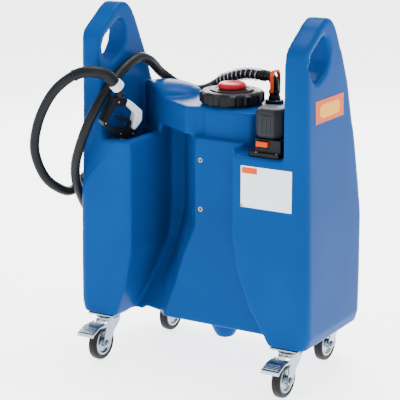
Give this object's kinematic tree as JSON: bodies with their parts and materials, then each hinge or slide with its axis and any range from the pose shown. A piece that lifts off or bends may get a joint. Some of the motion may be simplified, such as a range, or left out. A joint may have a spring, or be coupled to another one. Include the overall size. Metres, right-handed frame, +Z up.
{
  "type": "mobile liquid tank trolley",
  "caption": "Moulded tank trolley with end handles, castors with brakes, screw filler cap, battery suction pump, delivery hose and hand nozzle.",
  "frame": {"origin": "on the floor under the middle of the object's box, free hose left out", "axes": "+X runs along the tank from the nozzle end to the pump end, +Y from the front face to the rear, +Z up"},
  "size_m": [0.8174, 0.5051, 1.003],
  "materials": {
    "tank_plastic": "rotational moulded polyethylene, glossy with soft edges",
    "black_plastic": "satin black",
    "grey_plastic": "satin dark grey",
    "pale_plastic": "satin pale grey",
    "red_plastic": "satin red",
    "orange_plastic": "satin orange",
    "hose_rubber": "smooth dark grey rubber",
    "seal_rubber": "soft black rubber",
    "tyre": "solid black rubber tread",
    "zinc": "bright zinc-plated pressed steel",
    "brass": "plain brass",
    "steel": "bright stainless steel",
    "white_film": "pale laminated label film",
    "orange_film": "orange laminated label film"
  },
  "bodies": {
    "tank": {"tank_shell": "tank_plastic", "thread_insert_upper": "brass", "thread_insert_lower": "brass", "outlet_flange": "black_plastic", "outlet_elbow": "black_plastic", "hose_ferrule": "black_plastic", "riser_pipe": "grey_plastic", "submersible_pump": "steel", "pump_strainer": "grey_plastic", "delivery_hose": "hose_rubber", "hose_sleeve": "black_plastic", "hose_spring_guard": "steel", "nozzle_grip": "pale_plastic", "nozzle_body": "black_plastic", "nozzle_spout": "steel", "swivel_collar": "pale_plastic", "pump_dock": "black_plastic", "front_label": "white_film", "end_label": "orange_film", "castor_plate_fl": "zinc", "castor_plate_fr": "zinc", "castor_plate_rl": "zinc", "castor_plate_rr": "zinc"},
    "cap_carrier": {"cap_seal": "seal_rubber"},
    "cap": {"filler_cap": "black_plastic"},
    "vent": {"vent_plug": "red_plastic"},
    "bail": {"clamp_bail": "orange_plastic"},
    "trigger": {"nozzle_trigger": "black_plastic"},
    "rocker": {"rocker_switch": "orange_plastic"},
    "battery": {"battery_pack": "grey_plastic"},
    "swivel_fl": {"castor_fork_fl": "zinc", "castor_axle_fl": "zinc"},
    "wheel_fl": {"wheel_hub_fl": "zinc", "tyre_fl": "tyre"},
    "brake_fl": {"brake_pedal_fl": "zinc"},
    "swivel_fr": {"castor_fork_fr": "zinc", "castor_axle_fr": "zinc"},
    "wheel_fr": {"wheel_hub_fr": "zinc", "tyre_fr": "tyre"},
    "brake_fr": {"brake_pedal_fr": "zinc"},
    "swivel_rl": {"castor_fork_rl": "zinc", "castor_axle_rl": "zinc"},
    "wheel_rl": {"wheel_hub_rl": "zinc", "tyre_rl": "tyre"},
    "swivel_rr": {"castor_fork_rr": "zinc", "castor_axle_rr": "zinc"},
    "wheel_rr": {"wheel_hub_rr": "zinc", "tyre_rr": "tyre"}
  },
  "joints": [
    {"name": "cap_lift", "type": "slide", "parent": "tank", "child": "cap_carrier", "axis": [0, 0, 1], "range_m": [0, 0.0025]},
    {"name": "cap_turn", "type": "hinge", "parent": "cap_carrier", "child": "cap", "pos_m": [0.036, 0.0075, 0.765], "axis": [0, 0, 1], "continuous": true},
    {"name": "vent_turn", "type": "hinge", "parent": "cap", "child": "vent", "pos_m": [0.036, 0.0075, 0.79], "axis": [0, 0, 1], "continuous": true},
    {"name": "bail_swing", "type": "hinge", "parent": "tank", "child": "bail", "pos_m": [0.132, 0.0755, 0.778], "axis": [0, 1, 0], "range_deg": [0, 90]},
    {"name": "trigger_squeeze", "type": "hinge", "parent": "tank", "child": "trigger", "pos_m": [-0.2357, -0.0882, 0.6734], "axis": [-0.9069, 0.3664, 0.2079], "range_deg": [0, 22], "stiffness_Nm_per_rad": 0.3, "springref_deg": -17.19},
    {"name": "switch_rock", "type": "hinge", "parent": "tank", "child": "rocker", "pos_m": [0.211, -0.1345, 0.676], "axis": [1, 0, 0], "range_deg": [-8, 8]},
    {"name": "battery_pull", "type": "slide", "parent": "tank", "child": "battery", "axis": [0, 0, 1], "range_m": [0, 0.06]},
    {"name": "swivel_turn_fl", "type": "hinge", "parent": "tank", "child": "swivel_fl", "pos_m": [-0.292, -0.121, 0.115], "axis": [0, 0, 1], "continuous": true},
    {"name": "wheel_roll_fl", "type": "hinge", "parent": "swivel_fl", "child": "wheel_fl", "pos_m": [-0.292, -0.159, 0.05], "axis": [1, 0, 0], "continuous": true},
    {"name": "brake_press_fl", "type": "hinge", "parent": "swivel_fl", "child": "brake_fl", "pos_m": [-0.292, -0.165, 0.104], "axis": [1, 0, 0], "range_deg": [0, 12]},
    {"name": "swivel_turn_fr", "type": "hinge", "parent": "tank", "child": "swivel_fr", "pos_m": [0.292, -0.121, 0.115], "axis": [0, 0, 1], "continuous": true},
    {"name": "wheel_roll_fr", "type": "hinge", "parent": "swivel_fr", "child": "wheel_fr", "pos_m": [0.292, -0.159, 0.05], "axis": [1, 0, 0], "continuous": true},
    {"name": "brake_press_fr", "type": "hinge", "parent": "swivel_fr", "child": "brake_fr", "pos_m": [0.292, -0.165, 0.104], "axis": [1, 0, 0], "range_deg": [0, 12]},
    {"name": "swivel_turn_rl", "type": "hinge", "parent": "tank", "child": "swivel_rl", "pos_m": [-0.256, 0.197, 0.115], "axis": [0, 0, 1], "continuous": true},
    {"name": "wheel_roll_rl", "type": "hinge", "parent": "swivel_rl", "child": "wheel_rl", "pos_m": [-0.256, 0.159, 0.05], "axis": [1, 0, 0], "continuous": true},
    {"name": "swivel_turn_rr", "type": "hinge", "parent": "tank", "child": "swivel_rr", "pos_m": [0.256, 0.197, 0.115], "axis": [0, 0, 1], "continuous": true},
    {"name": "wheel_roll_rr", "type": "hinge", "parent": "swivel_rr", "child": "wheel_rr", "pos_m": [0.256, 0.159, 0.05], "axis": [1, 0, 0], "continuous": true}
  ]
}
